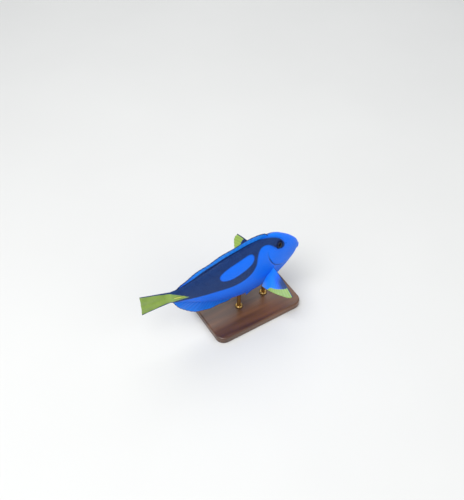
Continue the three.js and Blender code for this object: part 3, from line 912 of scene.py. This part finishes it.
def anal_marks(u, v, s, z):
    return {"edge": 0.7 - margin_gap(anal_at, s, z), "depth": 0.75 - 0.45 * v}


add_fin(
    "dorsal_web", "fin", "dorsal_fin", DORSAL_RAYS, 26, dorsal_at,
    ray_thickness(DORSAL_RAYS, length=12, spines=DORSAL_SPINES), dorsal_marks, spines=DORSAL_SPINES,
)
add_fin(
    "anal_web", "fin", "anal_fin", ANAL_RAYS, 30, anal_at,
    ray_thickness(ANAL_RAYS, length=16, spines=ANAL_SPINES), anal_marks, spines=ANAL_SPINES,
)

# %% The tail fin
TAIL_RAYS = 16
TAIL_CORNER_S, TAIL_CORNER_Z, TAIL_MIDDLE_S = 225.5, 17.2, 225.2
TAIL_ROOT_S, TAIL_ROOT_DEPTH = LENGTH - 4, 18


def tail_at(u, v):
    across = 1 - 2 * u
    end_s = mix(TAIL_MIDDLE_S, TAIL_CORNER_S, across**2)
    v = v * fringe(u, TAIL_RAYS, 0.007)
    z = mix(across * TAIL_ROOT_DEPTH / 2, across * TAIL_CORNER_Z, v**1.15)
    return place(mix(TAIL_ROOT_S, end_s, v), 0.45 * v * np.sin(5 * math.pi * u), z)


def tail_thick(u, v):
    """The rays rise out of a fleshy base that is thickest at mid height."""
    ridge = ridges(u, v, TAIL_RAYS, 0, 0.2) * joints(v, 34) * (0.25 + 0.5 * (1 - v)) * smooth(v, 0.02, 0.25)
    base = 5.6 * np.exp(-v / 0.12) * smooth(v, -0.01, 0.05) * (1 - 0.8 * np.abs(1 - 2 * u) ** 3)
    return 0.4 + ridge + 0.9 * (1 - v) * np.abs(1 - 2 * u) ** 6 + base


def tail_marks(u, v, s, z):
    return {"dark": inside(PALETTE, s, z), "yellow": inside(TAIL_WEDGE, s, z)}


add_fin(
    "tail_web", "tail_fin", "tail_fin", TAIL_RAYS, 60, tail_at, tail_thick, tail_marks, per_ray=10
)

# %% The breast fins
BREAST_RAYS, BREAST_LONGEST = 16, 50
BREAST_SHARES = through([(0, 1), (0.07, 0.98), (0.25, 0.82), (0.5, 0.64), (0.75, 0.51), (1, 0.42)])
BREAST_SWEEP = (-3.5, 68, 6)
BREAST_DROOP = {"left": (1, 12), "right": (15, 25)}


def breast_at(side_name):
    def at(u, v):
        v = v * fringe(u, BREAST_RAYS, 0.012)
        root_s = mix(BREAST_ROOT[0][0], BREAST_ROOT[1][0], u)
        root_z = mix(BREAST_ROOT[0][1], BREAST_ROOT[1][1], u)
        sweep = np.radians(mix(BREAST_SWEEP[0], BREAST_SWEEP[1], u) + BREAST_SWEEP[2] * v * (1 - u))
        droop = np.radians(mix(*BREAST_DROOP[side_name], u) + 3 * v)
        reach = BREAST_LONGEST * BREAST_SHARES(u) * v
        return place(
            root_s + reach * np.sin(sweep) * np.cos(droop),
            SIDES[side_name] * (flank(root_s) - SUNK + reach * np.cos(sweep) * np.cos(droop)),
            root_z - reach * np.sin(droop),
        )

    return at


def breast_marks(u, v, s, z):
    """A dark leading ray, a navy cloud behind it, yellow beyond a line, and a pale rear corner."""
    line = mix(0.73, 0.83, smooth(u, 0, 0.5)) + 0.25 * smooth(u, 0.5, 0.78)
    from_leading = u * BREAST_LONGEST * (0.35 + v)
    cloud = smooth(v, 0.1, 0.6) * (1 - smooth(u, 0.06, 0.45))
    return {
        "yellow": BREAST_LONGEST * (v - line),
        "edge": 1.3 * smooth(v, 0.1, 0.5) - from_leading,
        "depth": 0.15 + 1.8 * cloud,
        "pale": 0.8 * smooth(u, 0.6, 0.95) * smooth(v, 0.5, 0.95),
    }


for side_name in SIDES:
    add_fin(
        f"breast_web_{side_name}", "fin", f"breast_fin_{side_name}", BREAST_RAYS, 56, breast_at(side_name),
        ray_thickness(
            BREAST_RAYS, length=48, web=0.45, crest=0.35, flesh=2.2, reach=0.1, spines=1, stout=0.6
        ),
        breast_marks, spines=1,
    )

# %% The belly fins
BELLY_FIN_RAYS, BELLY_FIN_ROOT, BELLY_FIN_Y = 4, (62, 67), 3
BELLY_FIN_REACH, BELLY_FIN_DOWN, BELLY_FIN_OUT = (26, 18), (16, 8), (6, 2)


def belly_fin_marks(u, v, s, z):
    return {"edge": 0.6 - 14 * u, "depth": 0.8 + 0 * u}


def belly_fin_at(side_name):
    def at(u, v):
        root_s = mix(*BELLY_FIN_ROOT, u)
        down = np.radians(mix(*BELLY_FIN_DOWN, u) + 6 * (1 - v))
        out_turn = np.radians(mix(*BELLY_FIN_OUT, u))
        reach = mix(*BELLY_FIN_REACH, u) * v * fringe(u, BELLY_FIN_RAYS, 0.04)
        return place(
            root_s + reach * np.cos(down) * np.cos(out_turn),
            SIDES[side_name] * (BELLY_FIN_Y + reach * np.sin(out_turn)),
            belly(root_s) + 1.5 - reach * np.sin(down) * np.cos(out_turn),
        )

    return at


for side_name in SIDES:
    add_fin(
        f"belly_web_{side_name}", "fin", f"belly_fin_{side_name}", BELLY_FIN_RAYS, 30,
        belly_fin_at(side_name),
        ray_thickness(BELLY_FIN_RAYS, length=26, crest=0.5, flesh=1, reach=0.1, spines=1, stout=0.6),
        belly_fin_marks, spines=1, per_ray=12,
    )

# %% [markdown]
# The tail blade lies folded in its groove on each side of the stem, a single sharp spine that points
# forward. It is a stretched sphere, drawn out to a point at its front end.

# %% The tail blades
BLADE_HALF_LENGTH, BLADE_HALF_WIDTH, BLADE_HALF_DEPTH = 6.8, 1.1, 0.8


def blade_material():
    paint = Paint("blade", Roughness=0.3, Coat_Weight=0.3, Coat_Roughness=0.1)
    on_fish = paint.stored("fish", output="Vector")
    tint = paint.mix(paint.noise(on_fish, 0.7, 3.0), colour(186, 196, 84), colour(212, 214, 118))
    return paint.surface(Base_Color=tint)


blade_finish = blade_material()
for side_name, side in SIDES.items():
    bm = bmesh.new()
    bmesh.ops.create_uvsphere(bm, u_segments=24, v_segments=32, radius=1)
    bmesh.ops.rotate(bm, verts=bm.verts, matrix=Matrix.Rotation(math.pi / 2, 3, "Y"))
    blade = from_bmesh(f"tail_blade_{side_name}", bm)
    ball = coordinates(blade.data)
    s = BLADE_S + BLADE_HALF_LENGTH * ball[:, 0]
    slim = (0.3 + 0.7 * smooth(ball[:, 0], -1, 0.3)) * (1 - 0.2 * smooth(ball[:, 0], 0.5, 1))
    y = flank(s) - 0.6 + BLADE_HALF_WIDTH * ball[:, 1] * slim
    z = BLADE_Z + BLADE_HALF_DEPTH * ball[:, 2] * slim
    move_points(blade, place(s, side * y, z))
    turn_outwards(blade)
    store(blade, fish=np.stack([s, y, z], -1))
    finish_piece(blade, blade_finish, "tail_fin")

# %% [markdown]
# The eye is a flattened ball in its socket. Its pole points straight out of the head, so rings round the
# pole are rings of the eye: the pupil, a narrow bright ring, the dark iris and the pale edge under the rim.
# The pupil bulges a little, as the lens of a fish does, and a smooth surface gives the wet shine.

# %% The eyes
EYE_RADIUS, EYE_DEPTH, EYE_SUNK = 5.6, 4.2, 2.7
PUPIL_RING, LENS_HEIGHT = 0.36, 0.22
EYE_STOPS = [
    (0.0, colour(2, 3, 6)), (0.33, colour(3, 4, 9)), (PUPIL_RING, colour(70, 72, 70)),
    (0.4, colour(20, 30, 62)), (0.72, colour(16, 28, 70)), (1.0, colour(24, 62, 150)),
]


def eye_material():
    paint = Paint("eye", Roughness=0.07, IOR=1.33, Specular_IOR_Level=0.3)
    ring = paint.stored("ring")
    streak = paint.noise(paint.stored("fish", output="Vector"), 0.9, 4.0)
    return paint.surface(Base_Color=paint.ramp(ring + (streak - 0.5) * 0.03, EYE_STOPS))


def skin_frame(s, z, side):
    """A place on the skin and the directions to the rear, up and out of it."""
    angle = np.arcsin((z - middle_and_half(s)[0]) / middle_and_half(s)[1])
    middle = place(s, side * girth(s, angle), z)
    rear = place(s + 0.5, side * girth_at(s + 0.5, z), z) - place(s - 0.5, side * girth_at(s - 0.5, z), z)
    up = place(s, side * girth_at(s, z + 0.5), z + 0.5) - place(s, side * girth_at(s, z - 0.5), z - 0.5)
    normal = unit(side * np.cross(rear, up))
    rear = unit(rear)
    return middle, rear, np.cross(normal, rear), normal


eye_finish = eye_material()
for side_name, side in SIDES.items():
    bm = bmesh.new()
    bmesh.ops.create_uvsphere(bm, u_segments=64, v_segments=48, radius=1)
    eye = from_bmesh(f"eyeball_{side_name}", bm)
    ball = coordinates(eye.data)
    ring = np.degrees(np.arccos(np.clip(ball[:, 2], -1, 1))) / 90
    lens = LENS_HEIGHT * np.maximum(1 - (ring / PUPIL_RING) ** 2, 0) * (ball[:, 2] > 0)
    middle, rear, up, normal = skin_frame(np.array(float(EYE_S)), np.array(float(EYE_Z)), side)
    x, y, z = EYE_RADIUS * ball[:, 0], EYE_RADIUS * ball[:, 1], EYE_DEPTH * ball[:, 2] + lens - EYE_SUNK
    move_points(eye, middle + MM * (x[:, None] * rear + y[:, None] * up + z[:, None] * normal))
    turn_outwards(eye)
    store(eye, ring=np.clip(ring, 0, 1), fish=np.stack([x, y, z], -1))
    finish_piece(eye, eye_finish, "eye", f"eye_{side_name}")

# %% [markdown]
# The stand's base and rods are the frame's own solids. The base is dark varnished wood: rings stretched
# along its length, read in object coordinates so that the grain runs through the block. The rods are satin
# brass, and each gets a small turned collar where it enters the wood, made by spinning a short profile.

# %% The stand
DARK_WOOD, LIGHT_WOOD = colour(66, 38, 22), colour(122, 78, 46)
DARK_BRASS, LIGHT_BRASS = colour(184, 146, 82), colour(212, 176, 108)
COLLAR = [(0.0026, 0), (0.0052, 0), (0.0052, 0.0012), (0.0044, 0.0021), (0.0036, 0.0026), (0.0026, 0.0026)]
COLLAR_GAP = 0.00005


def wood_material():
    paint = Paint("stand_wood", Roughness=0.4, Coat_Weight=0.4, Coat_Roughness=0.25)
    at = paint.node("ShaderNodeTexCoord", output="Object")
    grain_at = paint.node("ShaderNodeMapping", {}, {"Vector": at, "Scale": (9.0, 110.0, 110.0)})
    grain = paint.noise(grain_at, 1.0, 6.0)
    wide = paint.node("ShaderNodeMapping", {}, {"Vector": at, "Scale": (4.0, 26.0, 26.0)})
    bands = paint.noise(wide, 1.0, 3.0)
    mixed = paint.ease(grain * 0.6 + bands * 0.6, 0.42, 0.82)
    tint = paint.mix(mixed, DARK_WOOD, LIGHT_WOOD)
    pores = paint.relief(grain, 0.0001, 0.4)
    return paint.surface(Base_Color=tint, Roughness=0.36 + 0.15 * grain, Normal=pores)


def brass_material():
    paint = Paint("stand_brass", Metallic=1.0, Roughness=0.3)
    at = paint.node("ShaderNodeTexCoord", output="Object")
    brushed = paint.node("ShaderNodeMapping", {}, {"Vector": at, "Scale": (400.0, 400.0, 2000.0)})
    lines = paint.noise(brushed, 1.0, 2.0)
    tint = paint.mix(lines, DARK_BRASS, LIGHT_BRASS)
    scratches = paint.relief(lines, 0.00002, 0.3)
    return paint.surface(Base_Color=tint, Roughness=0.24 + 0.14 * lines, Normal=scratches)


wood, brass = wood_material(), brass_material()
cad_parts["stand_base"].data.materials.clear()
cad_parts["stand_base"].data.materials.append(wood)
base_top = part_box("stand_base")[1].z
for rod_name in ("breast", "belly"):
    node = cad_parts[f"stand_rod_{rod_name}"]
    node.data.materials.clear()
    node.data.materials.append(brass)
    low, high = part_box(node.name)
    centre = (low + high) / 2
    bm = bmesh.new()
    ring = [bm.verts.new((centre.x + r, centre.y, base_top + h + COLLAR_GAP)) for r, h in COLLAR]
    edges = [bm.edges.new((a, b)) for a, b in zip(ring, ring[1:] + ring[:1])]
    bmesh.ops.spin(
        bm, geom=ring + edges, cent=centre, axis=(0, 0, 1), angle=2 * math.pi, steps=48, use_merge=True
    )
    bmesh.ops.remove_doubles(bm, verts=bm.verts, dist=1e-6)
    bmesh.ops.recalc_face_normals(bm, faces=bm.faces)
    collar = from_bmesh(f"stand_collar_{rod_name}", bm)
    finish_piece(collar, brass, "stand_rod")

# %% [markdown]
# The room is plain: a pale floor that runs out of sight, and large soft lamps above and in front. The
# camera stands where the photographer was, above and behind the right side, and sees the fish small in
# the frame. A 50 mm lens on a 36 mm sensor gives the same angle of view.

# %% Floor, light and camera
def floor_material():
    paint = Paint("floor", Roughness=0.8)
    at = paint.node("ShaderNodeTexCoord", output="Object")
    tint = paint.mix(paint.noise(at, 3.0), colour(222, 222, 220), colour(230, 230, 228))
    return paint.surface(Base_Color=tint)


bm = bmesh.new()
bmesh.ops.create_grid(bm, x_segments=1, y_segments=1, size=6)
floor = from_bmesh("floor", bm)
floor.data.materials.append(floor_material())
floor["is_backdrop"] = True

TARGET = Vector((-0.02175, 0, 0.1205))


def direction(azimuth, elevation):
    a, e = math.radians(azimuth), math.radians(elevation)
    return Vector((math.sin(a) * math.cos(e), -math.cos(a) * math.cos(e), math.sin(e)))


def lamp(name, azimuth, elevation, distance, size, watts):
    light = bpy.data.lights.new(name, "AREA")
    light.shape, light.size, light.energy = "DISK", size, watts
    made = bpy.data.objects.new(name, light)
    made.location = TARGET + distance * direction(azimuth, elevation)
    made.rotation_euler = (-direction(azimuth, elevation)).to_track_quat("-Z", "Y").to_euler()
    scene.collection.objects.link(made)


lamp("key", -70, 62, 1.6, 1.1, 21)
lamp("fill", 35, 35, 1.8, 1.4, 6)
lamp("back", 150, 50, 1.7, 1.2, 7)
world = bpy.data.worlds.new("studio")
world.use_nodes = True
world.node_tree.nodes["Background"].inputs["Color"].default_value = (0.93, 0.96, 1, 1)
world.node_tree.nodes["Background"].inputs["Strength"].default_value = 0.42
scene.world = world
scene.view_settings.view_transform = "Standard"

CAMERA_AZIMUTH, CAMERA_ELEVATION, CAMERA_DISTANCE = -31.66, 47, 0.8419
HALF_VIEW = 20
camera_data = bpy.data.cameras.new("camera")
camera_data.sensor_width = 36
camera_data.lens = 18 / math.tan(math.radians(HALF_VIEW))
camera_data.clip_start, camera_data.clip_end = 0.01, 50
camera = bpy.data.objects.new("camera", camera_data)
camera.location = TARGET + CAMERA_DISTANCE * direction(CAMERA_AZIMUTH, CAMERA_ELEVATION)
camera.rotation_euler = (-direction(CAMERA_AZIMUTH, CAMERA_ELEVATION)).to_track_quat("-Z", "Y").to_euler()
scene.collection.objects.link(camera)
scene.camera = camera
print("camera at", [round(c, 3) for c in camera.location])

# %% Sizes, and the box round everything shown
low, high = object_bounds()
print("visual box", [round(v, 4) for v in (*low, *high)])
